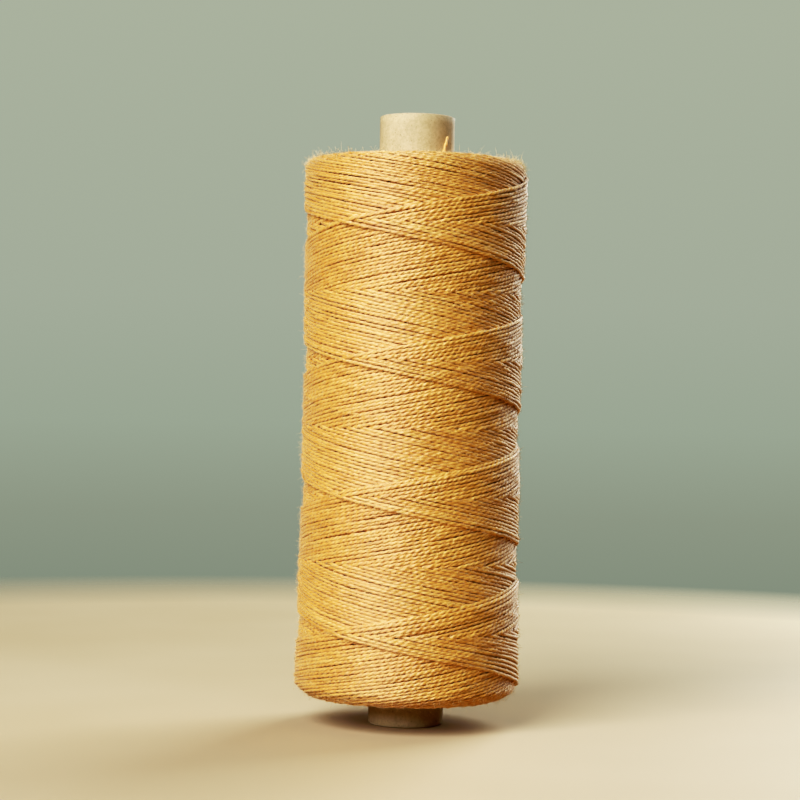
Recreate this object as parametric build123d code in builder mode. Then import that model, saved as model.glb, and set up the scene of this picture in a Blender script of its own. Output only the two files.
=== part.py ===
from build123d import *
from math import sin, cos, tan, radians, degrees
import os

# Spool of thread: a parallel cardboard tube carrying a cross-wound package of
# two-ply yarn.  Millimetres.  +Z is the tube's axis, pointing up.  The origin is
# the centre of the tube's bottom end, on the surface the spool stands on.
# -Y is the side the spool is usually seen from.

# ---- driving dimensions -------------------------------------------------------
tube_length = 150.0          # cut length of the cardboard tube
bore_radius = 7.5            # inside of the tube, goes over a spindle or peg
liner_wall = 0.30            # smooth paper on the inside of the tube
core_ply_wall = 0.55         # each of the two chipboard plies in the middle
face_ply_wall = 0.30         # kraft paper on the outside of the tube
face_setback = 0.15          # the two thin papers round back from the cut ends

yarn_diameter = 0.86         # two-ply yarn, laid on the package
package_bottom = 6.6         # height of the package's lower end face
package_top = 139.3          # height of the package's upper end face
package_bottom_radius = 27.8  # package radius just above the lower shoulder
package_waist_radius = 26.8  # package radius at mid height
package_top_radius = 27.6    # package radius just below the upper shoulder
shoulder_radius = 2.3        # rounding where the yarn turns back at each end
inner_layers_radius = 15.2   # outside of the first layers wound on the tube
middle_layers_radius = 21.2  # outside of the middle layers

tail_radius_from_axis = 9.72  # the start tail lies against the tube's outside
tail_route = [               # (degrees round from -Y towards +X, height)
    (17.0, 128.0),
    (28.5, 133.7),
    (39.5, 139.3),
    (50.0, 144.7),
]
tail_channel_radius = 0.60   # space that the first turns leave round the tail

finish_height = 77.5         # middle of the finishing end, on the back
finish_slope = 10.9          # degrees, the angle at which the yarn is wound
finish_arc = 70.0            # degrees of the package that the finishing end spans
finish_radius = 26.95        # centre line of the finishing end, half bedded in

# ---- derived dimensions -------------------------------------------------------
liner_outer = bore_radius + liner_wall
core_mid = liner_outer + core_ply_wall
core_outer = core_mid + core_ply_wall
tube_outer = core_outer + face_ply_wall
yarn_radius = yarn_diameter / 2
waist_height = (package_bottom + package_top) / 2

os.makedirs("parts", exist_ok=True)


def report(part, name):
    print(f"{name}: volume {part.volume:.1f} mm3, {len(part.solids())} solid(s)")


# ---- the tube: four glued plies, one inside the other ---------------------------
# Smooth liner paper: the wall of the bore.
with BuildPart() as tube_inner_liner:
    with BuildSketch(Plane.XY.offset(face_setback)):
        Circle(liner_outer)
        Circle(bore_radius, mode=Mode.SUBTRACT)
    extrude(amount=tube_length - 2 * face_setback)
tube_inner_liner.part.label = "tube_inner_liner"
export_step(tube_inner_liner.part, "parts/tube_inner_liner.step")
report(tube_inner_liner.part, "tube_inner_liner")

# First chipboard ply.  Its cut ends, with the second ply's, are what the spool
# stands on.
with BuildPart() as tube_inner_core_ply:
    with BuildSketch(Plane.XY):
        Circle(core_mid)
        Circle(liner_outer, mode=Mode.SUBTRACT)
    extrude(amount=tube_length)
tube_inner_core_ply.part.label = "tube_inner_core_ply"
export_step(tube_inner_core_ply.part, "parts/tube_inner_core_ply.step")
report(tube_inner_core_ply.part, "tube_inner_core_ply")

# Second chipboard ply.
with BuildPart() as tube_outer_core_ply:
    with BuildSketch(Plane.XY):
        Circle(core_outer)
        Circle(core_mid, mode=Mode.SUBTRACT)
    extrude(amount=tube_length)
tube_outer_core_ply.part.label = "tube_outer_core_ply"
export_step(tube_outer_core_ply.part, "parts/tube_outer_core_ply.step")
report(tube_outer_core_ply.part, "tube_outer_core_ply")

# Kraft face paper, with its two cut edges slightly eased.
with BuildPart() as tube_face_ply:
    with BuildSketch(Plane.XY.offset(face_setback)):
        Circle(tube_outer)
        Circle(core_outer, mode=Mode.SUBTRACT)
    extrude(amount=tube_length - 2 * face_setback)
    outer_rims = (
        tube_face_ply.edges()
        .filter_by(GeomType.CIRCLE)
        .group_by(SortBy.RADIUS)[-1]
    )
    chamfer(outer_rims, length=0.12)
tube_face_ply.part.label = "tube_face_ply"
export_step(tube_face_ply.part, "parts/tube_face_ply.step")
report(tube_face_ply.part, "tube_face_ply")

# ---- the yarn's starting end ------------------------------------------------------
# It runs up the outside of the tube, trapped under the first turns, and its cut
# end stands out of the package's upper face, leaning on the tube.
tail_points = [
    Vector(
        tail_radius_from_axis * sin(radians(angle)),
        -tail_radius_from_axis * cos(radians(angle)),
        height,
    )
    for angle, height in tail_route
]
tail_runs = [b - a for a, b in zip(tail_points, tail_points[1:])]
tail_bend_radii = []
for before, after in zip(tail_runs, tail_runs[1:]):
    turn = radians(before.get_angle(after))
    bend = 0.45 * min(before.length, after.length) / tan(turn / 2)
    tail_bend_radii.append(bend)
    print(f"start tail: turn {degrees(turn):.1f} deg, bend radius {bend:.1f} mm")

with BuildPart() as yarn_start_tail:
    with BuildLine() as tail_line:
        FilletPolyline(*tail_points, radius=tail_bend_radii)
    with BuildSketch(Plane(origin=tail_points[0], z_dir=tail_runs[0])):
        Circle(yarn_radius)
    sweep()
tail_length = tail_line.wires()[0].length
yarn_start_tail.part.label = "yarn_start_tail"
export_step(yarn_start_tail.part, "parts/yarn_start_tail.step")
report(yarn_start_tail.part, "yarn_start_tail")
print(f"start tail: length {tail_length:.2f} mm, "
      f"volume over section {yarn_start_tail.part.volume / (3.14159265 * yarn_radius ** 2):.2f} mm")

# ---- the package: one yarn, in three stages of winding ------------------------------
# The first layers, wound straight on the tube, with the channel in which the
# start tail is trapped.
with BuildPart() as yarn_inner_layers:
    with BuildSketch(Plane.XY.offset(package_bottom)):
        Circle(inner_layers_radius)
        Circle(tube_outer, mode=Mode.SUBTRACT)
    extrude(amount=package_top - package_bottom)
    with BuildLine() as channel_line:
        FilletPolyline(*tail_points, radius=tail_bend_radii)
    with BuildSketch(Plane(origin=tail_points[0], z_dir=tail_runs[0])):
        Circle(tail_channel_radius)
    sweep(mode=Mode.SUBTRACT)
yarn_inner_layers.part.label = "yarn_inner_layers"
export_step(yarn_inner_layers.part, "parts/yarn_inner_layers.step")
report(yarn_inner_layers.part, "yarn_inner_layers")

# The middle layers.
with BuildPart() as yarn_middle_layers:
    with BuildSketch(Plane.XY.offset(package_bottom)):
        Circle(middle_layers_radius)
        Circle(inner_layers_radius, mode=Mode.SUBTRACT)
    extrude(amount=package_top - package_bottom)
yarn_middle_layers.part.label = "yarn_middle_layers"
export_step(yarn_middle_layers.part, "parts/yarn_middle_layers.step")
report(yarn_middle_layers.part, "yarn_middle_layers")

# The finishing end: the last length of the yarn, half bedded in the winding on
# the back, at the winding angle.
finish_axis_direction = Vector(sin(radians(finish_slope)), 0, cos(radians(finish_slope)))
finish_across = Vector(cos(radians(finish_slope)), 0, -sin(radians(finish_slope)))
finish_back = Vector(0, 1, 0)
half_arc = radians(finish_arc / 2)
finish_start = finish_across * sin(half_arc) + finish_back * cos(half_arc)
finish_plane = Plane(
    origin=(0, 0, finish_height),
    x_dir=finish_start,
    z_dir=finish_start.cross(finish_axis_direction),
)
finish_axis = Axis((0, 0, finish_height), finish_axis_direction)

with BuildPart() as yarn_finish_end:
    with BuildSketch(finish_plane):
        with Locations((finish_radius, 0)):
            Circle(yarn_radius)
    revolve(axis=finish_axis, revolution_arc=finish_arc)
yarn_finish_end.part.label = "yarn_finish_end"
export_step(yarn_finish_end.part, "parts/yarn_finish_end.step")
report(yarn_finish_end.part, "yarn_finish_end")
finish_box = yarn_finish_end.part.bounding_box()
print(f"finish end: x {finish_box.min.X:.1f}..{finish_box.max.X:.1f}, "
      f"y {finish_box.min.Y:.1f}..{finish_box.max.Y:.1f}, z {finish_box.min.Z:.1f}..{finish_box.max.Z:.1f}")

# The outer layers: slightly waisted, with rounded shoulders where the yarn turns
# back, and the groove that the finishing end beds in.
with BuildPart() as yarn_outer_layers:
    with BuildSketch(Plane.XZ):
        with BuildLine():
            Line((middle_layers_radius, package_top), (middle_layers_radius, package_bottom))
            Line((middle_layers_radius, package_bottom), (package_bottom_radius, package_bottom))
            ThreePointArc(
                (package_bottom_radius, package_bottom),
                (package_waist_radius, waist_height),
                (package_top_radius, package_top),
            )
            Line((package_top_radius, package_top), (middle_layers_radius, package_top))
        make_face()
    revolve(axis=Axis.Z)
    shoulder_edges = (
        yarn_outer_layers.edges()
        .filter_by(GeomType.CIRCLE)
        .filter_by(lambda e: e.radius > middle_layers_radius + 1.0)
    )
    fillet(shoulder_edges, radius=shoulder_radius)
    with BuildSketch(finish_plane):
        with Locations((finish_radius, 0)):
            Circle(yarn_radius)
    revolve(axis=finish_axis, revolution_arc=finish_arc, mode=Mode.SUBTRACT)
yarn_outer_layers.part.label = "yarn_outer_layers"
export_step(yarn_outer_layers.part, "parts/yarn_outer_layers.step")
report(yarn_outer_layers.part, "yarn_outer_layers")
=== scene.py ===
import math

import bpy
import numpy as np
from mathutils import Matrix, Vector


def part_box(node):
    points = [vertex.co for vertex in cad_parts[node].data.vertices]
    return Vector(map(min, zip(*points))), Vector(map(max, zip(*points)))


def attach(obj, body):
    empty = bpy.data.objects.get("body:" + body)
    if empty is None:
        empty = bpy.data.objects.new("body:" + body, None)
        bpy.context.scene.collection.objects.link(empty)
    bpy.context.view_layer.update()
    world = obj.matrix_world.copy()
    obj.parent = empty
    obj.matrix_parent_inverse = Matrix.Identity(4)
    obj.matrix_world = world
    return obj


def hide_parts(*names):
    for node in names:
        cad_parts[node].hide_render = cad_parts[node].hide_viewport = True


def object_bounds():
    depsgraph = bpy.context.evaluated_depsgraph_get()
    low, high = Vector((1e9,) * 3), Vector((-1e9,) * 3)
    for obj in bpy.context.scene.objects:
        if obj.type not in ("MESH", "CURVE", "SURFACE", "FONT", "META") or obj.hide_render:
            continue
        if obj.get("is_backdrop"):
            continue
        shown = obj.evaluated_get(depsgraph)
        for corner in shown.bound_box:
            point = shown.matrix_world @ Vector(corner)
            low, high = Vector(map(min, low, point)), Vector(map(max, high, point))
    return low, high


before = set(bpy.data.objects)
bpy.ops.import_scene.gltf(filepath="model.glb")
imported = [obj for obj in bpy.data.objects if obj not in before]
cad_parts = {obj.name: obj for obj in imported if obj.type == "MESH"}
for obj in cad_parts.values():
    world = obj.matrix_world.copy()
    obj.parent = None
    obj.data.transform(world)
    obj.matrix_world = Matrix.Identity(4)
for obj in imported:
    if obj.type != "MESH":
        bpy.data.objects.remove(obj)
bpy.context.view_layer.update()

# Everything below is worked out in millimetres and written in metres.  An angle
# round the spool is measured from -Y, the side it is usually seen from, towards
# +X.  The yarn is laid as the angle grows with time.
MM = 0.001
TAU = 2 * math.pi
rng = np.random.default_rng(90417)


def node_box(name):
    low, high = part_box(name)
    return np.array(low) / MM, np.array(high) / MM


# ---- sizes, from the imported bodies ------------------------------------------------
face_low, face_high = node_box("tube_face_ply")
core_low, core_high = node_box("tube_outer_core_ply")
mid_low, mid_high = node_box("tube_inner_core_ply")
liner_low, liner_high = node_box("tube_inner_liner")
pack_low, pack_high = node_box("yarn_outer_layers")
tail_low, tail_high = node_box("yarn_start_tail")
finish_low, finish_high = node_box("yarn_finish_end")

TUBE_R = face_high[0]          # outside of the tube
CORE_R = core_high[0]
MID_R = mid_high[0]
LINER_R = liner_high[0]
BORE_R = LINER_R - 0.30
TUBE_TOP = core_high[2]
PACK_BOTTOM = pack_low[2]
PACK_TOP = pack_high[2]

# ---- the winding ---------------------------------------------------------------------
YARN_R = 0.43                  # radius of the yarn, over both plies
PITCH = 32.73                  # rise of one turn
RISE = PITCH / TAU
PASSES = 37                    # double traverses that cover the package once
CROSS_ANGLE = math.radians(-38.7)   # where the newest threads of both slopes cross
CROSS_HEIGHT = 122.2
TURN_HALF = math.radians(30.0)      # half the angle in which the yarn turns back
APEX_TOP = CROSS_HEIGHT + PITCH / 2
APEX_BOTTOM = CROSS_HEIGHT + PITCH / (2 * PASSES) - 3.5 * PITCH
LEG = (APEX_TOP - APEX_BOTTOM) / RISE      # angle between two turnings
FINE = 0.10                    # step along the yarn while it is laid
STRIDE = 4                     # every so many fine steps there is a section
LEVEL = 0.72                   # how much one laid thread adds to the package
SAW = 0.70                     # the newest threads stand this far proud


def side_radius(z):
    """Radius of the package's side, slightly waisted."""
    h = z - (PACK_BOTTOM + PACK_TOP) / 2
    return 26.8 + 2.0444e-4 * h * h - 1.5072e-3 * h


def frac(x):
    return x - np.floor(x)


def power(x, k):
    return np.clip(x, 0, None) ** k


def rise_line(z):
    """Height of a rising thread that would be at z with an even slope: it leaves
    the lower end slowly, and comes to the upper end a little faster."""
    top = (z - APEX_TOP) / RISE
    low = (z - APEX_BOTTOM) / RISE
    return z + 2.64 * power((top + 2.2) / 1.75, 2.2) + 1.18 * power((1.4 - low) / 1.82, 2.0)


def fall_line(z):
    """The same for a falling thread."""
    top = (APEX_TOP - z) / RISE
    low = (APEX_BOTTOM - z) / RISE
    return z - 2.05 * power((1.9 - top) / 2.35, 1.15) - 3.2 * power((low + 2.3) / 1.88, 2.0)


EVEN = np.linspace(0.0, 147.0, 1471)
RISE_TABLE, FALL_TABLE = rise_line(EVEN), fall_line(EVEN)


def ages(theta, z):
    s1 = np.interp(z, RISE_TABLE, EVEN) - RISE * theta
    s2 = np.interp(z, FALL_TABLE, EVEN) + RISE * theta
    c1 = CROSS_HEIGHT - RISE * CROSS_ANGLE
    c2 = CROSS_HEIGHT + RISE * CROSS_ANGLE
    half = 0.5 / PASSES
    return frac((c1 - s1) / PITCH + half), frac((s2 - c2) / PITCH + half)


def saw(theta, z):
    """Height of the newest threads over the older ones. Just under the upper
    shoulder the turnings have filled most of that step."""
    a1, a2 = ages(theta, z)
    level = 1 - a1 - a2
    filled = 0.75 * np.clip((z - (PACK_TOP - 8.0)) / 5.0, 0, 1)
    return SAW * (level + filled * np.clip(-level, 0, None))


def drift(count, step, reach):
    """Smooth random numbers of unit size that change over about reach."""
    white = rng.standard_normal(count)
    f = np.fft.rfftfreq(count, step)
    x = np.fft.irfft(np.fft.rfft(white) * np.exp(-0.5 * (TAU * f * reach / 2.5) ** 2), count)
    return x / x.std()


SOFT = 0.35                    # how softly the yarn turns back, mm


def turning_height(x, apex, sign):
    """Height at the angle x after the turning where both even slopes meet."""
    arrive, leave = apex + sign * RISE * x, apex - sign * RISE * x
    if sign > 0:
        arrive, leave = rise_line(arrive), fall_line(leave)
    else:
        arrive, leave = fall_line(arrive), rise_line(leave)
    return -sign * SOFT * np.logaddexp(-sign * arrive / SOFT, -sign * leave / SOFT)


def shoulder_inset(z):
    """How far the rounded shoulders draw in the centre line of a thread."""
    r = 2.5 - YARN_R
    up = np.clip(z - (PACK_TOP - 2.5), 0, r * 0.98)
    return (r - np.sqrt(r * r - up * up)) + 3.4 * power((PACK_BOTTOM + 3.3 - z) / 2.9, 1.6)


# The path of the yarn: all turnings, oldest first.  Leg 2i rises to the top
# turning of double traverse 36 - i, and leg 2i + 1 falls from it.
double = 2 * LEG
first_top = CROSS_ANGLE + math.pi + TAU * (PASSES - 1) / PASSES
end_angle = math.radians(215.0)


def leg_angles(i):
    """Start, end and turning angles of leg i."""
    top = first_top + (i // 2) * double
    return (top - LEG, top) if i % 2 == 0 else (top, top + LEG)


NZ0, DZ = 4.0, 0.12
NZ = int((142.0 - NZ0) / DZ)
NT = 1440
grid_z = NZ0 + DZ * np.arange(NZ)
grid_t = TAU * np.arange(NT) / NT
surface = (
    side_radius(grid_z)[:, None]
    - 2 * YARN_R
    - LEVEL
    + saw(grid_t[None, :], grid_z[:, None])
).astype(np.float64)


def at_surface(theta, z):
    iz = np.clip(np.rint((z - NZ0) / DZ).astype(int), 0, NZ - 1)
    it = np.rint(theta / TAU * NT).astype(int) % NT
    return iz, it


def taut(t, support, curve):
    """The shape of a taut thread over a support: it touches only the high
    places, and is straight between them."""
    y = support - curve * t * t / 2
    keep = [0]
    tl, yl = t.tolist(), y.tolist()
    for i in range(1, len(tl)):
        ti, yi = tl[i], yl[i]
        while len(keep) > 1:
            a, b = keep[-2], keep[-1]
            if (yl[b] - yl[a]) * (ti - tl[b]) <= (yi - yl[b]) * (tl[b] - tl[a]):
                keep.pop()
            else:
                break
        keep.append(i)
    k = np.array(keep)
    return np.interp(t, t[k], y[k]) + curve * t * t / 2


def smoothed(x, reach):
    k = np.exp(-0.5 * (np.arange(-3 * reach, 3 * reach + 1) / reach) ** 2)
    return np.convolve(np.pad(x, 3 * reach, mode="edge"), k / k.sum(), mode="valid")


LEGS = 2 * PASSES + 1
mean_r = 26.9
step_angle = FINE * math.cos(math.atan(RISE / mean_r)) / mean_r
per_leg = int(round(LEG / step_angle))
fine_angle = LEG / per_leg
last_count = int(((end_angle + TAU * 40) - (leg_angles(LEGS - 1)[0])) / fine_angle)
start_last = leg_angles(LEGS - 1)[0]
# the finishing end stops at 215 degrees, after whole turns from the last turning
turns_needed = (80.85 - 7.0) / PITCH
target = start_last + turns_needed * TAU
stop = end_angle + TAU * round((target - end_angle) / TAU)
last_count = int((stop - start_last) / fine_angle)
total = per_leg * (LEGS - 1) + last_count + 1

theta = leg_angles(0)[0] + fine_angle * np.arange(total)
leg_of = np.minimum(np.arange(total) // per_leg, LEGS - 1)
into = np.arange(total) - leg_of * per_leg            # fine steps since the last turning
after = into * fine_angle
before = (per_leg - into) * fine_angle
rising = leg_of % 2 == 0
from_top = np.where(rising, before, after)
from_low = np.where(rising, after, before)
since_top = np.where(rising, -before, after)          # angle after the top turning
since_low = np.where(rising, after, -before)
z_raw = np.where(
    from_top < LEG / 2,
    turning_height(since_top, APEX_TOP, 1),
    turning_height(since_low, APEX_BOTTOM, -1),
)
# each turning lands a little higher or lower than the next
turn_shift = 0.09 * rng.standard_normal(LEGS + 2).clip(-1.6, 1.6)
near_top = np.exp(-(((since_top + 0.45) * mean_r / 22.0) ** 2))
near_low = np.exp(-(((since_low + 0.42) * mean_r / 22.0) ** 2))
shift_id = np.where(into * 2 < per_leg, leg_of, leg_of + 1)
z_line = z_raw + turn_shift[shift_id] * np.maximum(near_top, near_low)
wander = (
    0.045 * drift(total, FINE, 5.0)
    + 0.050 * drift(total, FINE, 26.0)
    + 0.028 * rng.standard_normal(LEGS).clip(-1.5, 1.5)[leg_of]
)
calm = np.clip((np.minimum(from_top, from_low) - 0.2) / 0.6, 0.25, 1)
z_line = z_line + wander * calm

slope = np.gradient(z_line, fine_angle)
beta = np.arctan2(slope, mean_r)
# where the threads lie closer, near the ends, each is squeezed to its place
squeeze = np.clip(np.abs(np.gradient(z_raw, fine_angle)) / RISE, 0.74, 1.0)
squeeze = np.convolve(np.pad(squeeze, 20, mode="edge"), np.full(41, 1 / 41), mode="valid")
radius = np.zeros(total)
offsets = (-0.24, -0.12, 0.0, 0.12, 0.24)
stamp = np.linspace(-0.40, 0.40, 9)
edge_before = int(math.radians(40.0) / fine_angle)    # the turning, round both sides
edge_after = int(math.radians(12.0) / fine_angle)
for leg in range(LEGS):
    a = leg * per_leg
    b = min((leg + 1) * per_leg, total - 1)
    lo = a + edge_after
    hi = b - edge_before if leg < LEGS - 1 else b
    s = slice(lo, hi + 1)
    th, z, be, sq = theta[s], z_line[s], beta[s], squeeze[s]
    support = np.full(len(th), -1e9)
    for o in offsets:
        iz, it = at_surface(th - o * sq * np.sin(be) / mean_r, z + o * sq * np.cos(be))
        support = np.maximum(
            support, surface[iz, it] + math.sqrt(YARN_R**2 - o * o) - YARN_R
        )
    support = support + LEVEL / 2
    t = np.arange(len(th)) * FINE
    r = taut(t, support, 0.30) - 0.03
    # soft yarn beds in: it can't stand far above the package's own shape
    limit = side_radius(z) - YARN_R + saw(th, z) + 0.05
    r = np.where(r > limit, limit + 0.15 * (r - limit), r)
    r = smoothed(r, 6)
    radius[s] = r
    for o in stamp:
        iz, it = at_surface(th - o * sq * np.sin(be) / mean_r, z + o * sq * np.cos(be))
        np.maximum.at(
            surface, (iz, it), r + math.sqrt(YARN_R**2 - o * o) - (YARN_R - LEVEL / 2)
        )

# the turnings: from the level at which the thread arrives to the level at which
# it leaves, drawn in over the rounded shoulder
for turning in range(0, LEGS):
    centre = turning * per_leg
    lo, hi = max(centre - edge_before, 0), min(centre + edge_after, total - 1)
    left = radius[lo] if turning > 0 else radius[hi] - LEVEL
    right = radius[hi]
    i = np.arange(lo, hi + 1)
    u = (i - (centre - edge_before)) / (edge_before + edge_after)
    ease = u * u * (3 - 2 * u)
    radius[lo : hi + 1] = left + (right - left) * ease
inset_at = shoulder_inset(z_line)
radius = radius - inset_at

print("spread against the package:", np.percentile(radius + inset_at - side_radius(z_line), [0, 1, 5, 25, 50, 75, 95, 99, 100]).round(2))
print("yarn laid:", round(total * FINE / 1000, 2), "m; radius", radius.min(), radius.max(),
      "z", z_line.min(), z_line.max())


def polar(theta, radius, z):
    return np.stack([radius * np.sin(theta), -radius * np.cos(theta), z], -1)


# ---- tubes of yarn ---------------------------------------------------------------------
# One section of two-ply yarn: two soft plies pressed together.  Ten points, the
# first in the groove between the plies.
PLY_R, PLY_OFF = 0.342, 0.114


def section_profile():
    # groove holds painted shade: 1 at the points in the groove between the plies, 0.30 at their neighbours, 0
    # elsewhere
    pts, groove = [], []
    valley = math.sqrt(PLY_R**2 - PLY_OFF**2) * 0.98
    for side in (1, -1):
        pts.append((0.0, side * valley))
        groove.append(1.0)
        for a in (70, 24, -24, -70):
            x = side * (PLY_OFF + PLY_R * math.cos(math.radians(a)))
            y = side * PLY_R * math.sin(math.radians(a))
            pts.append((x, y))
            groove.append(0.30 if abs(a) > 50 else 0.0)
    return np.array(pts), np.array(groove)


PROFILE, GROOVE_SHADE = section_profile()
LEAD = 3.35                     # length in which the two plies go once round


def frames(path):
    """Tangent, and outward and upward directions across it, along a path."""
    t = np.gradient(path, axis=0)
    t /= np.linalg.norm(t, axis=1, keepdims=True)
    out = path.copy()
    out[:, 2] = 0
    out /= np.linalg.norm(out, axis=1, keepdims=True) + 1e-12
    out -= (out * t).sum(1, keepdims=True) * t
    out /= np.linalg.norm(out, axis=1, keepdims=True)
    up = np.cross(out, t)
    return t, out, up


def yarn_sections(path, along, size, twist, narrow=None):
    """Points of the sections of a yarn, with its plies turned by twist."""
    t, out, up = frames(path)
    c, s = np.cos(twist)[:, None], np.sin(twist)[:, None]
    x = (PROFILE[:, 0] * c - PROFILE[:, 1] * s) * size[:, None]
    y = (PROFILE[:, 0] * s + PROFILE[:, 1] * c) * size[:, None]
    if narrow is not None:
        y = y * narrow[:, None]
    return path[:, None, :] + x[..., None] * out[:, None, :] + y[..., None] * up[:, None, :]


class Tubes:
    """Closed tubes of sections with the same number of points, and the map on
    which their faces lie as a grid of cells."""

    def __init__(self, ring):
        self.ring = ring
        self.parts = []

    def add(self, points, **values):
        self.parts.append((points, values))

    def faces_count(self):
        return sum(2 * self.ring * (len(p) - 1) + 2 * (self.ring - 2) for p, _ in self.parts)

    def build(self, name, material, aspect=1.35):
        ring = self.ring
        counts = [len(p) for p, _ in self.parts]
        verts = np.concatenate([p.reshape(-1, 3) for p, _ in self.parts])
        starts = np.concatenate([[0], np.cumsum(counts)[:-1]])
        slots = sum(counts) + len(counts)
        strips = max(1, int(round(math.sqrt(slots * aspect / ring))))
        per_strip = int(math.ceil(slots / strips))
        quads, qslot, caps, cslot = [], [], [], []
        j = np.arange(ring)
        for k, (n, s) in enumerate(zip(counts, starts)):
            base = (s + np.arange(n - 1))[:, None] * ring
            q = np.stack([base + j, base + (j + 1) % ring,
                          base + ring + (j + 1) % ring, base + ring + j], -1)
            quads.append(q.reshape(-1, 4))
            qslot.append(s + k + np.arange(n - 1))
            caps.append((s * ring + j)[::-1])
            caps.append((s + n - 1) * ring + j)
            cslot += [s + k + n - 1, s + k + n]
        quads = np.concatenate(quads)
        qslot = np.concatenate(qslot)
        loops = np.concatenate([quads.ravel()] + caps)
        nq, nc = len(quads), len(caps)
        mesh = bpy.data.meshes.new(name)
        mesh.vertices.add(len(verts))
        mesh.vertices.foreach_set("co", (verts * MM).astype(np.float32).ravel())
        mesh.loops.add(len(loops))
        mesh.loops.foreach_set("vertex_index", loops.astype(np.int32))
        mesh.polygons.add(nq + nc)
        start = np.concatenate([4 * np.arange(nq), 4 * nq + ring * np.arange(nc)])
        mesh.polygons.foreach_set("loop_start", start.astype(np.int32))
        # the map
        uv = np.zeros((len(loops), 2))
        cu, cv = 1.0 / per_strip, 1.0 / (strips * ring)
        u0 = (qslot % per_strip) * cu
        v0 = (qslot // per_strip) * ring * cv
        u = np.broadcast_to(u0[:, None, None] + cu * np.array([0, 0, 1, 1]), (len(qslot), ring, 4))
        v = v0[:, None, None] + cv * (j[None, :, None] + np.array([0, 1, 1, 0])[None, None, :])
        uv[: 4 * nq, 0] = u.ravel()
        uv[: 4 * nq, 1] = v.ravel()
        turn = TAU * j / ring
        for i, slot in enumerate(cslot):
            cx = ((slot % per_strip) + 0.5) * cu + 0.42 * cu * np.cos(turn)
            cy = ((slot // per_strip) * ring + ring / 2) * cv + 0.42 * ring * cv * np.sin(turn)
            if i % 2 == 0:
                cx, cy = cx[::-1], cy[::-1]
            k = 4 * nq + ring * i
            uv[k : k + ring, 0], uv[k : k + ring, 1] = cx, cy
        layer = mesh.uv_layers.new(name="OFBake", do_init=False)
        layer.uv.foreach_set("vector", uv.astype(np.float32).ravel())
        mesh.update(calc_edges=True)
        mesh.polygons.foreach_set("use_smooth", np.ones(nq + nc, bool))
        for key in self.parts[0][1]:
            value = np.concatenate([
                np.broadcast_to(np.asarray(vals[key], np.float32), p.shape[:2] + np.shape(vals[key])[2:])
                .reshape((p.shape[0] * p.shape[1],) + np.shape(vals[key])[2:])
                for p, vals in self.parts
            ])
            kind = "FLOAT_VECTOR" if value.ndim == 2 else "FLOAT"
            att = mesh.attributes.new(key, kind, "POINT")
            att.data.foreach_set("vector" if value.ndim == 2 else "value", value.ravel())
        mesh.materials.append(material)
        mesh.validate(verbose=False)
        obj = bpy.data.objects.new(name, mesh)
        bpy.context.scene.collection.objects.link(obj)
        return obj


def fibre_values(along, tone, groove=GROOVE_SHADE, ring=10):
    """What the yarn's material reads: place along and round the yarn, tone, and
    the weights of the painted shade in the grooves between the plies."""
    n = len(along)
    ang = TAU * np.arange(ring) / ring
    fibre = np.zeros((n, ring, 3), np.float32)
    fibre[..., 0] = (along * 0.48)[:, None]
    fibre[..., 1] = 1.15 * np.cos(ang)
    fibre[..., 2] = 1.15 * np.sin(ang)
    return dict(
        fibre=fibre,
        groove=np.broadcast_to(groove[None, :], (n, ring)).astype(np.float32),
        tone=np.broadcast_to(tone[:, None], (n, ring)).astype(np.float32),
    )


# ---- materials ----------------------------------------------------------------------------
def new_material(name):
    mat = bpy.data.materials.new(name)
    mat.use_nodes = True
    nt = mat.node_tree
    nt.nodes.clear()
    out = nt.nodes.new("ShaderNodeOutputMaterial")
    bsdf = nt.nodes.new("ShaderNodeBsdfPrincipled")
    nt.links.new(bsdf.outputs["BSDF"], out.inputs["Surface"])
    return mat, nt, bsdf


def node(nt, kind, **inputs):
    n = nt.nodes.new(kind)
    for key, value in inputs.items():
        n.inputs[key.replace("_", " ")].default_value = value
    return n


def noise(nt, vector, scale, detail=3.0, rough=0.55, distortion=0.0):
    n = nt.nodes.new("ShaderNodeTexNoise")
    n.noise_dimensions = "3D"
    n.inputs["Scale"].default_value = scale
    n.inputs["Detail"].default_value = detail
    n.inputs["Roughness"].default_value = rough
    n.inputs["Distortion"].default_value = distortion
    nt.links.new(vector, n.inputs["Vector"])
    return n.outputs["Fac"]


def mapped(nt, value, a, b, c, d, clamp=True):
    n = nt.nodes.new("ShaderNodeMapRange")
    n.clamp = clamp
    for i, x in enumerate((a, b, c, d)):
        n.inputs[i + 1].default_value = x
    nt.links.new(value, n.inputs[0])
    return n.outputs[0]


def maths(nt, op, a, b=None):
    n = nt.nodes.new("ShaderNodeMath")
    n.operation = op
    for i, x in enumerate((a, b)):
        if x is None:
            continue
        if isinstance(x, (int, float)):
            n.inputs[i].default_value = x
        else:
            nt.links.new(x, n.inputs[i])
    return n.outputs[0]


def ramp(nt, value, *stops):
    n = nt.nodes.new("ShaderNodeValToRGB")
    el = n.color_ramp.elements
    while len(el) > len(stops):
        el.remove(el[-1])
    while len(el) < len(stops):
        el.new(0.5)
    for e, (pos, colour) in zip(el, stops):
        e.position = pos
        e.color = (*colour, 1.0)
    nt.links.new(value, n.inputs["Fac"])
    return n.outputs["Color"]


def mixed(nt, kind, fac, a, b):
    n = nt.nodes.new("ShaderNodeMix")
    n.data_type = "RGBA"
    n.blend_type = kind
    n.clamp_factor = True
    if isinstance(fac, (int, float)):
        n.inputs[0].default_value = fac
    else:
        nt.links.new(fac, n.inputs[0])
    for i, x in ((6, a), (7, b)):
        if isinstance(x, tuple):
            n.inputs[i].default_value = (*x, 1.0)
        else:
            nt.links.new(x, n.inputs[i])
    return n.outputs[2]


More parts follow.
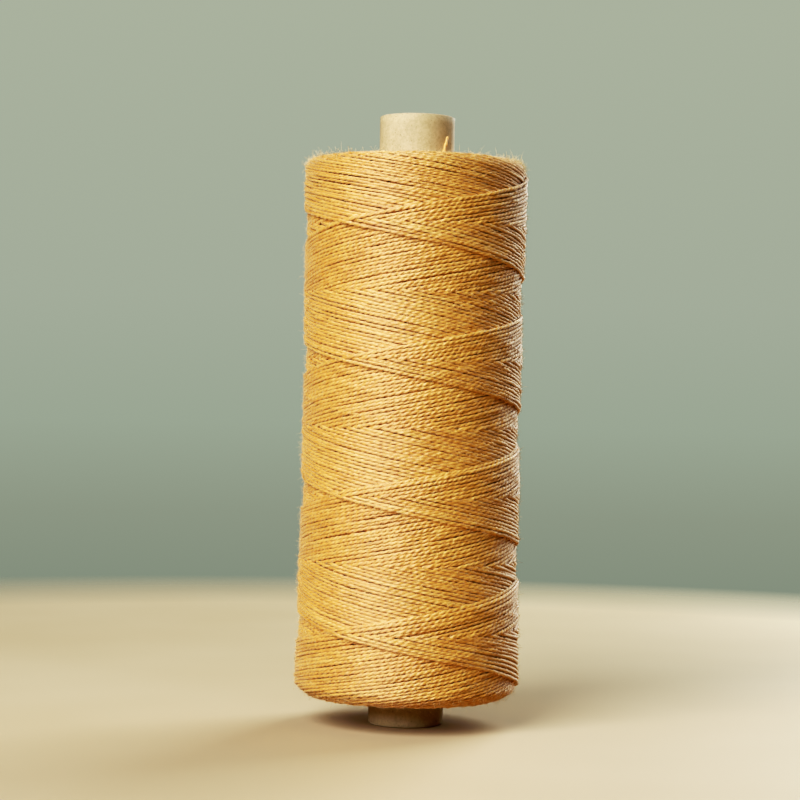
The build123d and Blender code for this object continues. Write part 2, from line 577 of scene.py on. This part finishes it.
def bumped(nt, height, strength, distance, normal=None):
    n = nt.nodes.new("ShaderNodeBump")
    n.inputs["Strength"].default_value = strength
    n.inputs["Distance"].default_value = distance
    nt.links.new(height, n.inputs["Height"])
    if normal is not None:
        nt.links.new(normal, n.inputs["Normal"])
    return n.outputs["Normal"]


def srgb(r, g, b):
    return tuple(
        (c / 255) / 12.92 if c / 255 <= 0.04045 else ((c / 255 + 0.055) / 1.055) ** 2.4
        for c in (r, g, b)
    )


YARN_DARK = (0.62, 0.285, 0.034)
YARN_MID = (0.77, 0.420, 0.086)
YARN_LIGHT = (0.87, 0.560, 0.176)


def yarn_material(name, shade_strength=1.0):
    """Two-ply cotton: fine fibres along each ply, painted shade in the grooves
    between the plies, with the tone changing slowly along the yarn."""
    mat, nt, bsdf = new_material(name)
    att = nt.nodes.new("ShaderNodeAttribute")
    att.attribute_name = "fibre"
    tone = nt.nodes.new("ShaderNodeAttribute")
    tone.attribute_name = "tone"
    groove = nt.nodes.new("ShaderNodeAttribute")
    groove.attribute_name = "groove"
    fine = noise(nt, att.outputs["Vector"], 3.2, 5.0, 0.74)
    broad = noise(nt, att.outputs["Vector"], 0.55, 2.0, 0.5)
    streak = maths(nt, "ADD", maths(nt, "MULTIPLY", fine, 0.65), maths(nt, "MULTIPLY", broad, 0.35))
    level = maths(nt, "ADD", mapped(nt, streak, 0.30, 0.70, 0.08, 0.92), tone.outputs["Fac"])
    colour = ramp(nt, level, (0.0, YARN_DARK), (0.5, YARN_MID), (1.0, YARN_LIGHT))
    # painted shade: the grooves between the plies are darkened and tinted brown in place of their shadow
    shade = maths(nt, "MULTIPLY", groove.outputs["Fac"], 0.26 * shade_strength)
    colour = mixed(nt, "MULTIPLY", shade, colour, (0.50, 0.36, 0.22))
    nt.links.new(colour, bsdf.inputs["Base Color"])
    nt.links.new(mapped(nt, fine, 0.3, 0.7, 0.56, 0.70), bsdf.inputs["Roughness"])
    nt.links.new(bumped(nt, fine, 0.80, 0.00008), bsdf.inputs["Normal"])
    # a yarn's fibres lie along it, and so spread its gloss across it
    bsdf.inputs["IOR"].default_value = 1.93
    bsdf.inputs["Anisotropic"].default_value = 0.75
    bsdf.inputs["Anisotropic Rotation"].default_value = 0.25
    bsdf.inputs["Specular IOR Level"].default_value = 1.0
    bsdf.inputs["Sheen Weight"].default_value = 0.54
    bsdf.inputs["Sheen Roughness"].default_value = 0.50
    bsdf.inputs["Sheen Tint"].default_value = (1.0, 0.96, 0.86, 1.0)
    return mat


yarn_mat = yarn_material("yarn_two_ply")

# ---- the wound yarn --------------------------------------------------------------------------
index = np.arange(0, total, STRIDE)
if index[-1] != total - 1:
    index = np.append(index[:-1], total - 1)
path = polar(theta[index], radius[index], z_line[index])
along = np.concatenate([[0], np.cumsum(np.linalg.norm(np.diff(path, axis=0), axis=1))])
n = len(path)
step = along[-1] / (n - 1)
size = 1.07 + 0.05 * drift(n, step, 1.2) + 0.055 * drift(n, step, 3.0) + 0.045 * drift(n, step, 22.0)
size = size.clip(0.80, 1.28)
lead = LEAD * (1 + 0.10 * drift(n, step, 40.0)).clip(0.75, 1.3)
twist = TAU * np.cumsum(np.gradient(along) / lead)
tone = (
    0.09 * drift(n, step, 30.0) + 0.06 * drift(n, step, 4.0)
    + 0.09 * drift(n, step, 1.1) + 0.10 * rng.standard_normal(n)
)
thick_rings = yarn_sections(path, along, size, twist, squeeze[index])
values = fibre_values(along, tone)
print("yarn:", round(along[-1] / 1000, 2), "m,", n, "sections")

FINISH_LENGTH = 33.0
finish_from = int(np.searchsorted(along, along[-1] - FINISH_LENGTH))
LIMIT = 9300
chunks = max(1, int(math.ceil(finish_from / LIMIT)))
cuts = np.linspace(0, finish_from, chunks + 1).astype(int)
for c in range(chunks):
    s = slice(cuts[c], cuts[c + 1] + 1)
    tubes = Tubes(10)
    tubes.add(thick_rings[s], **{k: v[s] for k, v in values.items()})
    obj = tubes.build(f"wound_yarn_{c:02d}", yarn_mat)
    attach(obj, "root")
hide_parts("yarn_outer_layers")

# the finishing end, the last stretch of the yarn
s = slice(finish_from, n)
end_size = np.ones(n - finish_from)
end_size[-6:] = np.linspace(1.0, 0.72, 6)
tubes = Tubes(10)
centre = path[s][:, None, :]
rings = centre + (thick_rings[s] - centre) * end_size[:, None, None]
tubes.add(rings, **{k: v[s] for k, v in values.items()})
obj = tubes.build("yarn_finishing_end", yarn_mat)
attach(obj, "root")
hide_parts("yarn_finish_end")

# ---- the end faces: the turnings of all older layers ---------------------------------------
def face_arcs(top):
    """Arcs in which the older layers turn back, from the package's outside in.
    Each starts below its neighbours, comes up over them and goes down again."""
    arcs = []
    count = int((25.6 - 9.95) / 1.44 * PASSES)
    for m in range(count):
        r0 = 25.55 - 1.44 * m / PASSES
        centre_angle = CROSS_ANGLE + math.pi + TAU * (PASSES + m) / PASSES
        if not top:
            centre_angle += LEG
        half = math.radians(rng.uniform(31, 36))
        steps = max(14, int(2 * half * r0 / 0.50))
        d = np.linspace(-half, half, steps)
        drop = RISE * 1.18 * (d * d) / (2 * TURN_HALF)
        apex = 0.0 + abs(rng.normal(0, 0.10))
        wob = 0.05 * np.sin(d * rng.uniform(4, 9) + rng.uniform(0, 6))
        if top:
            outer_sink = 0.25 * np.clip((r0 - 23.5) / 2.0, 0, 1) ** 2
        else:
            bevel = 3.3 - 2.9 * (min(max(26.55 - r0, 0.0), 3.4) / 3.4) ** 0.625
            outer_sink = max(bevel - 0.46 + 0.35, 0.0) if r0 > 23.15 else 0.29
        level = 0.46 + apex + drop + wob + outer_sink
        r = r0 + 1.02 * d + 0.05 * np.sin(d * rng.uniform(3, 8) + rng.uniform(0, 6)) + rng.normal(0, 0.08)
        r = np.maximum(r, TUBE_R + 0.46)
        z = PACK_TOP - level if top else PACK_BOTTOM + level
        arcs.append(polar(centre_angle + d, r, z))
    return arcs


def build_arcs(top, prefix, node_names):
    arcs = face_arcs(top)
    cut = int(0.46 * len(arcs))
    groups = [arcs[:cut], arcs[cut:]]
    made = []
    for gi, group in enumerate(groups):
        tubes = Tubes(10)
        for arc in group:
            m = len(arc)
            al = np.concatenate([[0], np.cumsum(np.linalg.norm(np.diff(arc, axis=0), axis=1))])
            st = al[-1] / (m - 1)
            sz = (1 + 0.08 * np.sin(al * rng.uniform(0.4, 1.2) + rng.uniform(0, 6))) * rng.uniform(0.95, 1.08)
            tw = TAU * al / (LEAD * rng.uniform(0.9, 1.1)) + rng.uniform(0, TAU)
            tn = np.full(m, rng.normal(0, 0.12)) + 0.06 * np.sin(al * 0.7 + rng.uniform(0, 6))
            tubes.add(yarn_sections(arc, al, sz, tw), **fibre_values(al + rng.uniform(0, 900), tn))
        obj = tubes.build(f"{prefix}_{'outer' if gi == 0 else 'inner'}", yarn_mat)
        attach(obj, "root")
        made.append(obj)
    return made


top_outer, top_inner = build_arcs(True, "upper_face_yarn", None)
low_outer, low_inner = build_arcs(False, "lower_face_yarn", None)
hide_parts("yarn_middle_layers")
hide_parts("yarn_inner_layers")


# ---- shapes turned about the tube's axis ------------------------------------------------------
def turned(name, outline, material, segments=256, shift=None, smooth=True, spacing=0.5, wall=None):
    """A closed ring turned about Z from an outline of (radius, height) points,
    moved by shift(theta, radius, height), which gives millimetres out and up.
    Runs of over 20 mm are divided by wall, and the rest by spacing."""
    pts = []
    m = len(outline)
    for i in range(m):
        a, b = np.array(outline[i], float), np.array(outline[(i + 1) % m], float)
        run = np.linalg.norm(b - a)
        k = max(1, int(run / (wall if wall and run > 20 else spacing)))
        for q in range(k):
            pts.append(a + (b - a) * q / k)
    pts = np.array(pts)
    length = len(pts)
    th = TAU * np.arange(segments) / segments
    R = np.broadcast_to(pts[None, :, 0], (segments, length)).copy()
    Z = np.broadcast_to(pts[None, :, 1], (segments, length)).copy()
    T = np.broadcast_to(th[:, None], (segments, length))
    if shift is not None:
        dr, dz = shift(T, R, Z)
        R, Z = R + dr, Z + dz
    verts = polar(T, R, Z).reshape(-1, 3)
    i, j = np.meshgrid(np.arange(segments), np.arange(length), indexing="ij")
    i2, j2 = (i + 1) % segments, (j + 1) % length
    quads = np.stack([i * length + j, i2 * length + j, i2 * length + j2, i * length + j2], -1).reshape(-1, 4)
    mesh = bpy.data.meshes.new(name)
    mesh.vertices.add(len(verts))
    mesh.vertices.foreach_set("co", (verts * MM).astype(np.float32).ravel())
    mesh.loops.add(quads.size)
    mesh.loops.foreach_set("vertex_index", quads.astype(np.int32).ravel())
    mesh.polygons.add(len(quads))
    mesh.polygons.foreach_set("loop_start", (4 * np.arange(len(quads))).astype(np.int32))
    u = np.stack([i, i + 1, i + 1, i], -1).reshape(-1) / segments
    v = np.stack([j, j, j + 1, j + 1], -1).reshape(-1) / length
    layer = mesh.uv_layers.new(name="OFBake", do_init=False)
    layer.uv.foreach_set("vector", np.stack([u, v], -1).astype(np.float32).ravel())
    mesh.update(calc_edges=True)
    mesh.polygons.foreach_set("use_smooth", np.full(len(quads), smooth))
    mesh.materials.append(material)
    mesh.validate(verbose=False)
    obj = bpy.data.objects.new(name, mesh)
    bpy.context.scene.collection.objects.link(obj)
    return obj


# the wound yarn under the last layers, seen only in the gaps between threads
def core_shift(T, R, Z):
    ridge = 0.16 * np.sin(TAU * (Z - RISE * T) / 0.885) * (R > 20)
    return ridge, 0 * ridge


under_mat = yarn_material("yarn_under_layers", 1.0)
core_out = [
    (9.4, PACK_TOP - 1.9), (24.6, PACK_TOP - 1.9), (25.0, PACK_TOP - 3.0),
    (24.9, PACK_TOP - 8), (24.75, 72.9), (24.8, PACK_BOTTOM + 8), (24.9, PACK_BOTTOM + 3.0),
    (24.5, PACK_BOTTOM + 1.9), (9.4, PACK_BOTTOM + 1.9),
]
under = turned("yarn_under_layers", core_out, under_mat, 300, None, True, 0.9)
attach(under, "root")

# ---- the tube --------------------------------------------------------------------------------
def paper_material(name, dark, mid, light, fibre_scale, bump, rough=(0.62, 0.82), streaky=4.0,
                   specks=True):
    mat, nt, bsdf = new_material(name)
    coord = nt.nodes.new("ShaderNodeTexCoord")
    stretch = nt.nodes.new("ShaderNodeMapping")
    stretch.inputs["Scale"].default_value = (1.0, 1.0, 1.0 / streaky)
    nt.links.new(coord.outputs["Object"], stretch.inputs["Vector"])
    fibres = noise(nt, stretch.outputs["Vector"], fibre_scale, 5.0, 0.68, 0.4)
    clouds = noise(nt, coord.outputs["Object"], 260.0, 3.0, 0.5)
    level = maths(nt, "ADD", maths(nt, "MULTIPLY", fibres, 0.7), maths(nt, "MULTIPLY", clouds, 0.3))
    colour = ramp(nt, level, (0.30, dark), (0.50, mid), (0.70, light))
    if specks:
        dots = noise(nt, coord.outputs["Object"], 2600.0, 1.0, 0.4)
        mask = mapped(nt, dots, 0.66, 0.74, 0.0, 0.55)
        colour = mixed(nt, "MULTIPLY", mask, colour, (0.42, 0.33, 0.24))
    nt.links.new(colour, bsdf.inputs["Base Color"])
    nt.links.new(mapped(nt, fibres, 0.3, 0.7, *rough), bsdf.inputs["Roughness"])
    nt.links.new(bumped(nt, level, bump, 0.00008), bsdf.inputs["Normal"])
    bsdf.inputs["Specular IOR Level"].default_value = 0.70
    return mat


kraft = paper_material("kraft_face_paper", (0.45, 0.360, 0.214), (0.575, 0.470, 0.300),
                       (0.68, 0.566, 0.380), 1300.0, 0.30, streaky=1.0)
board = paper_material("chipboard_cut_edge", (0.42, 0.31, 0.20), (0.60, 0.48, 0.34),
                       (0.76, 0.66, 0.52), 2600.0, 0.9, (0.78, 0.95), 0.6)
liner = paper_material("liner_paper", (0.36, 0.27, 0.17), (0.50, 0.39, 0.26),
                       (0.62, 0.50, 0.36), 1200.0, 0.3)


def lumps(T, Z, seed, scale=1.0):
    r = np.random.default_rng(seed)
    total = np.zeros_like(T)
    for k in range(14):
        m = int(r.integers(2, 46))
        q = r.uniform(-0.9, 0.9)
        total += np.sin(m * T + q * Z + r.uniform(0, TAU)) / (1 + m / 9)
    return scale * total / 4


def face_shift(T, R, Z):
    # a wavering surface, and the lap of the paper as a low step down one side
    out = 0.012 * lumps(T, Z, 11)
    lap = np.deg2rad(63.0)
    over = np.clip(((T - lap + math.pi) % TAU - math.pi) / 0.02, 0, 1) * np.exp(
        -(((T - lap + math.pi) % TAU - math.pi) / 0.9).clip(0, 9) ** 2
    )
    outer = R > TUBE_R - 0.2
    out = np.where(outer, out + 0.05 * over, 0.0)
    return out, np.where(np.abs(Z - 75) > 70, 0.02 * lumps(T, 0 * Z, 17), 0.0)


def board_shift(seed, amount):
    def shift(T, R, Z):
        ends = np.abs(Z - 75) > 74.9
        return 0 * T, np.where(ends, -np.sign(Z - 75) * amount * (0.5 + 0.5 * lumps(T * 2, R * 6, seed)).clip(0, 1.6), 0)
    return shift


def ring(inner, outer, low, high, ease):
    return [
        (inner, low + ease), (inner + ease, low), (outer - ease, low), (outer, low + ease),
        (outer, high - ease), (outer - ease, high), (inner + ease, high), (inner, high - ease),
    ]


tube_face = turned("tube_face_paper", ring(CORE_R, TUBE_R, face_low[2], face_high[2], 0.10),
                   kraft, 360, face_shift, True, 0.1, 1.8)
tube_outer = turned("tube_outer_chipboard", ring(MID_R, CORE_R, core_low[2], core_high[2], 0.06),
                    board, 420, board_shift(3, 0.05), True, 0.06, 5.0)
tube_inner = turned("tube_inner_chipboard", ring(LINER_R, MID_R, mid_low[2], mid_high[2], 0.06),
                    board, 420, board_shift(5, 0.05), True, 0.06, 5.0)
tube_liner = turned("tube_liner_paper", ring(BORE_R, LINER_R, liner_low[2], liner_high[2], 0.06),
                    liner, 360, None, True, 0.1, 4.0)
for obj, cad, slot in (
    (tube_face, "tube_face_ply", "kraft_paper"),
    (tube_outer, "tube_outer_core_ply", "chipboard"),
    (tube_inner, "tube_inner_core_ply", "chipboard"),
    (tube_liner, "tube_inner_liner", "liner_paper"),
):
    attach(obj, "root")
    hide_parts(cad)

# ---- the starting end ---------------------------------------------------------------------
route = np.array([
    (math.radians(a), r, z)
    for a, r, z in (
        (17.0, 9.72, 128.0), (28.5, 9.72, 133.7), (39.5, 9.72, 139.3), (45.0, 9.76, 142.2),
        (50.0, 9.74, 144.6),
    )
])
t_key = np.linspace(0, 1, len(route))
t_fine = np.linspace(0, 1, 60)
tail_path = polar(
    np.interp(t_fine, t_key, route[:, 0]), np.interp(t_fine, t_key, route[:, 1]),
    np.interp(t_fine, t_key, route[:, 2]),
)
al = np.concatenate([[0], np.cumsum(np.linalg.norm(np.diff(tail_path, axis=0), axis=1))])
tail_size = np.interp(al / al[-1], [0, 0.9, 1.0], [0.96, 0.96, 0.70])
tubes = Tubes(10)
tubes.add(yarn_sections(tail_path, al, tail_size, TAU * al / 3.5), **fibre_values(al, 0.12 + 0 * al))
tail_obj = tubes.build("yarn_starting_end", yarn_mat)
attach(tail_obj, "root")
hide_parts("yarn_start_tail")

# ---- the loose fibres -------------------------------------------------------------------------
hair_mat, nt, bsdf = new_material("yarn_loose_fibres")
coord = nt.nodes.new("ShaderNodeTexCoord")
tint = noise(nt, coord.outputs["Object"], 900.0, 2.0)
nt.links.new(ramp(nt, tint, (0.3, (0.84, 0.60, 0.30)), (0.7, (0.96, 0.82, 0.58))), bsdf.inputs["Base Color"])
nt.links.new(mapped(nt, tint, 0.3, 0.7, 0.5, 0.75), bsdf.inputs["Roughness"])
nt.links.new(bumped(nt, tint, 0.2, 0.00001), bsdf.inputs["Normal"])


def hairs(name, roots, normals, along_dir, lengths, lean, curl, width=0.016, cuts=4):
    """Loose fibres as thin closed tubes, one from each root: a few three-sided
    sections, cuts of them, on a bent line."""
    count = len(roots)
    across = np.cross(normals, along_dir)

    def direction(spread, out):
        d = (
            out[:, None] * normals
            + (spread * rng.normal(0, 1, count))[:, None] * along_dir
            + (spread * rng.normal(0, 1, count))[:, None] * across
        )
        return d / np.linalg.norm(d, axis=1, keepdims=True)

    d0 = direction(lean, np.ones(count))
    d1 = direction(curl, rng.uniform(-0.6, 0.9, count))
    d2 = direction(curl, rng.uniform(-0.6, 0.9, count))
    u = np.linspace(0, 1, cuts)[None, :, None]
    ln = lengths[:, None, None]
    line = roots[:, None, :] + ln * (
        d0[:, None, :] * (u - 0.5 * u**2)
        + d1[:, None, :] * (0.5 * u**2 - 0.25 * u**3)
        + d2[:, None, :] * 0.25 * u**3
    )
    t = np.gradient(line, axis=1)
    t /= np.linalg.norm(t, axis=2, keepdims=True)
    side = np.cross(t, normals[:, None, :] + np.array([0.013, 0.007, 0.021]))
    side /= np.linalg.norm(side, axis=2, keepdims=True) + 1e-9
    other = np.cross(t, side)
    w = (width * rng.uniform(0.65, 1.3, count))[:, None, None]
    w = w * np.interp(np.linspace(0, 1, cuts), [0, 0.4, 0.7, 1], [1.0, 1.0, 0.86, 0.5])[None, :, None]
    ring = np.stack(
        [line + w * (side * math.cos(q) + other * math.sin(q)) for q in (0, TAU / 3, 2 * TAU / 3)], 2
    )
    verts = ring.reshape(-1, 3)
    base = (3 * cuts * np.arange(count))[:, None, None] + (3 * np.arange(cuts - 1))[None, :, None]
    j = np.arange(3)[None, None, :]
    k = (j + 1) % 3
    quads = np.stack([base + j, base + k, base + 3 + k, base + 3 + j], -1).reshape(-1, 4)
    first = (3 * cuts * np.arange(count))[:, None]
    last = first + 3 * (cuts - 1)
    caps = np.concatenate([first + np.array([2, 1, 0]), last + np.array([0, 1, 2])], 1).reshape(-1, 3)
    loops = np.concatenate([quads.ravel(), caps.ravel()])
    nq, nc = len(quads), len(caps)
    each = cuts + 1
    slots = each * count
    strips = max(1, int(round(math.sqrt(slots / 3))))
    per_strip = int(math.ceil(slots / strips))
    cu, cv = 1.0 / per_strip, 1.0 / (3 * strips)
    slot = (each * np.arange(count))[:, None] + np.arange(cuts - 1)[None, :]
    u0, v0 = (slot % per_strip) * cu, (slot // per_strip) * 3 * cv
    qu = u0[:, :, None, None] + cu * np.array([0, 0, 1, 1]) + 0 * np.arange(3)[None, None, :, None]
    qv = v0[:, :, None, None] + cv * (np.arange(3)[:, None] + np.array([0, 1, 1, 0]))[None, None]
    cslot = ((each * np.arange(count))[:, None] + np.array([cuts - 1, cuts])[None, :]).ravel()
    cu0, cv0 = (cslot % per_strip) * cu, (cslot // per_strip) * 3 * cv
    tu = cu0[:, None] + cu * np.array([0.1, 0.9, 0.5])
    tv = cv0[:, None] + 3 * cv * np.array([0.1, 0.1, 0.9])
    uv = np.stack([
        np.concatenate([qu.ravel(), tu.ravel()]), np.concatenate([qv.ravel(), tv.ravel()])
    ], -1)
    mesh = bpy.data.meshes.new(name)
    mesh.vertices.add(len(verts))
    mesh.vertices.foreach_set("co", (verts * MM).astype(np.float32).ravel())
    mesh.loops.add(len(loops))
    mesh.loops.foreach_set("vertex_index", loops.astype(np.int32))
    mesh.polygons.add(nq + nc)
    start = np.concatenate([4 * np.arange(nq), 4 * nq + 3 * np.arange(nc)])
    mesh.polygons.foreach_set("loop_start", start.astype(np.int32))
    layer = mesh.uv_layers.new(name="OFBake", do_init=False)
    layer.uv.foreach_set("vector", uv.astype(np.float32).ravel())
    mesh.update(calc_edges=True)
    mesh.polygons.foreach_set("use_smooth", np.ones(nq + nc, bool))
    mesh.materials.append(hair_mat)
    mesh.validate(verbose=False)
    obj = bpy.data.objects.new(name, mesh)
    bpy.context.scene.collection.objects.link(obj)
    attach(obj, "root")
    return obj


# roots on the threads that lie on top
t_dir, out_dir, up_dir = frames(path)
at_it = at_surface(theta[index], z_line[index])
on_top = np.flatnonzero(radius[index] + inset_at[index] + LEVEL / 2 > surface[at_it] - 0.12)
for part in range(7):
    count = 13500
    pick = rng.choice(on_top, count, replace=False)
    around = rng.uniform(-1.2, 1.2, count)[:, None]
    nrm = out_dir[pick] * np.cos(around) + up_dir[pick] * np.sin(around)
    lengths = np.minimum(0.35 + rng.exponential(0.45, count), 2.4)
    flat = rng.random(count) < 0.60
    root_out = np.where(flat, 0.37, 0.30)[:, None]
    lengths[~flat] *= 0.85
    long_ones = rng.random(count) < 0.010
    lengths[long_ones] = rng.uniform(1.5, 3.0, long_ones.sum())
    lean = np.where(flat & ~long_ones, 2.4, 0.75)
    hairs(f"loose_fibres_side_{part}", path[pick] + root_out * nrm, nrm, t_dir[pick], lengths,
          lean, 1.2, 0.023, 3)

# longer ones stand up from both shoulders
high = on_top[z_line[index][on_top] > PACK_TOP - 2.6]
lowest = on_top[z_line[index][on_top] < PACK_BOTTOM + 3.0]
pick = np.concatenate([rng.choice(high, 2600), rng.choice(lowest, 700)])
count = len(pick)
rise = np.where(z_line[index][pick] > 70, 1.0, -1.0)
around = (rise * rng.uniform(-0.2, 1.45, count))[:, None]
nrm = out_dir[pick] * np.cos(around) + up_dir[pick] * np.sin(around)
lengths = np.minimum(0.50 + rng.exponential(0.80, count), 3.6)
hairs("loose_fibres_shoulders", path[pick] + 0.32 * nrm, nrm, t_dir[pick], lengths,
      np.full(count, 0.65), 0.9, 0.024)

# and a few tufts of the longest stand on the upper shoulder
where = theta[index][high] % TAU
chosen = []
for at in np.deg2rad([-66, -52, -47, 58, 66, 100, 128, 171, 205, 238, 262]):
    off = np.abs((where - at + math.pi) % TAU - math.pi)
    near = high[(off < 0.16) & (z_line[index][high] > PACK_TOP - 1.9)]
    if len(near):
        chosen.append(rng.choice(near, 9))
pick = np.concatenate(chosen)
count = len(pick)
around = rng.uniform(0.9, 1.5, count)[:, None]
nrm = out_dir[pick] * np.cos(around) + up_dir[pick] * np.sin(around)
hairs("loose_fibres_tufts", path[pick] + 0.32 * nrm, nrm, t_dir[pick],
      rng.uniform(1.4, 3.4, count), np.full(count, 0.45), 0.6, 0.036)

# ---- the stage ------------------------------------------------------------------------------------
def disc(name, radius_m, rings, segments):
    verts, faces = [(0, 0, 0)], []
    for i in range(1, rings + 1):
        r = radius_m * i / rings
        verts += [(r * math.cos(TAU * j / segments), r * math.sin(TAU * j / segments), 0) for j in range(segments)]
    for j in range(segments):
        faces.append((0, 1 + j, 1 + (j + 1) % segments))
    for i in range(1, rings):
        a, b = 1 + (i - 1) * segments, 1 + i * segments
        for j in range(segments):
            faces.append((a + j, b + j, b + (j + 1) % segments, a + (j + 1) % segments))
    mesh = bpy.data.meshes.new(name)
    mesh.from_pydata(verts, [], faces)
    obj = bpy.data.objects.new(name, mesh)
    bpy.context.scene.collection.objects.link(obj)
    return obj


floor = disc("floor", 0.62, 12, 96)
floor_mat, nt, bsdf = new_material("floor")
coord = nt.nodes.new("ShaderNodeTexCoord")
soft = noise(nt, coord.outputs["Object"], 9.0, 2.0, 0.5)
pale = ramp(nt, soft, (0.3, (0.585, 0.475, 0.325)), (0.7, (0.635, 0.525, 0.370)))
# it looks pale, and sends back the warm light of a wooden table
looked_at = nt.nodes.new("ShaderNodeLightPath").outputs["Is Camera Ray"]
nt.links.new(mixed(nt, "MIX", looked_at, (0.42, 0.26, 0.10), pale), bsdf.inputs["Base Color"])
bsdf.inputs["Roughness"].default_value = 0.6
bsdf.inputs["Specular IOR Level"].default_value = 0.3
length = nt.nodes.new("ShaderNodeVectorMath")
length.operation = "LENGTH"
nt.links.new(coord.outputs["Object"], length.inputs[0])
fade = mapped(nt, length.outputs["Value"], 0.30, 0.42, 1.0, 0.0)
nt.links.new(fade, bsdf.inputs["Alpha"])
floor.data.materials.append(floor_mat)
floor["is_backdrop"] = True

world = bpy.data.worlds.new("studio")
bpy.context.scene.world = world
world.use_nodes = True
wnt = world.node_tree
seen = wnt.nodes["Background"]
aim = wnt.nodes.new("ShaderNodeTexCoord")
height = wnt.nodes.new("ShaderNodeSeparateXYZ")
wnt.links.new(aim.outputs["Generated"], height.inputs[0])
wnt.links.new(
    ramp(wnt, mapped(wnt, height.outputs["Z"], -0.10, 0.17, 0.0, 1.0),
         (0.0, (0.205, 0.232, 0.193)), (0.16, (0.232, 0.256, 0.212)), (0.31, (0.266, 0.298, 0.249)),
         (0.52, (0.290, 0.317, 0.267)), (1.0, (0.310, 0.335, 0.277))),
    seen.inputs["Color"],
)
fill = wnt.nodes.new("ShaderNodeBackground")
fill.inputs["Color"].default_value = (1.0, 0.60, 0.22, 1.0)
fill.inputs["Strength"].default_value = 0.050
either = wnt.nodes.new("ShaderNodeMixShader")
ray = wnt.nodes.new("ShaderNodeLightPath")
wnt.links.new(ray.outputs["Is Camera Ray"], either.inputs["Fac"])
wnt.links.new(fill.outputs["Background"], either.inputs[1])
wnt.links.new(seen.outputs["Background"], either.inputs[2])
wnt.links.new(either.outputs["Shader"], wnt.nodes["World Output"].inputs["Surface"])


def area(name, azimuth, elevation, distance, size, power, colour, target=(0, 0, 0.075)):
    """A soft light; azimuth is measured from -Y towards +X, as the part's angles are."""
    a, e = math.radians(azimuth), math.radians(elevation)
    t = Vector(target)
    at = t + distance * Vector((math.sin(a) * math.cos(e), -math.cos(a) * math.cos(e), math.sin(e)))
    data = bpy.data.lights.new(name, "AREA")
    data.shape = "RECTANGLE"
    data.size, data.size_y = size
    data.energy = power
    data.color = colour
    obj = bpy.data.objects.new(name, data)
    bpy.context.scene.collection.objects.link(obj)
    obj.location = at
    obj.rotation_euler = (t - at).to_track_quat("-Z", "Y").to_euler()
    return obj


area("key", -32.5, 31, 0.95, (0.62, 0.75), 10.6, (1.0, 1.03, 1.02))
area("rim", 143, 27, 0.85, (0.55, 0.7), 6.4, (0.92, 1.0, 1.0))

scene = bpy.context.scene
scene.view_settings.view_transform = "Standard"
scene.view_settings.look = "None"
scene.view_settings.exposure = 0.0
scene.view_settings.gamma = 1.0

# the response of film: deep shadows and a soft shoulder
RESPONSE = (
    (0.0, 0), (0.01, 2), (0.02, 8), (0.035, 22), (0.05, 37), (0.075, 54), (0.10, 70), (0.13, 89),
    (0.17, 111), (0.215, 133), (0.265, 154), (0.31, 170), (0.35, 182), (0.40, 194), (0.463, 206),
    (0.555, 220), (0.65, 232), (0.80, 245), (1.0, 255),
)
scene.view_settings.use_curve_mapping = True
curve = scene.view_settings.curve_mapping.curves[3]
while len(curve.points) < len(RESPONSE):
    curve.points.new(0.5, 0.5)
for point, (given, shown) in zip(curve.points, RESPONSE):
    point.location = (given, srgb(shown, shown, shown)[0])
    point.handle_type = "AUTO_CLAMPED"
scene.view_settings.curve_mapping.update()

cam_data = bpy.data.cameras.new("camera")
cam_data.sensor_width = 36.0
cam_data.lens = 36.0 * 2180.0 / 800.0
cam_data.clip_start = 0.01
cam_data.clip_end = 50.0
cam = bpy.data.objects.new("camera", cam_data)
scene.collection.objects.link(cam)
turn = (
    Matrix.Rotation(math.radians(0.31), 4, "Z")
    @ Matrix.Rotation(math.radians(90 - 0.26), 4, "X")
    @ Matrix.Rotation(math.radians(1.18), 4, "Z")
)
cam.matrix_world = Matrix.Translation((0, -0.540, 0.0824)) @ turn
scene.camera = cam

low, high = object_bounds()
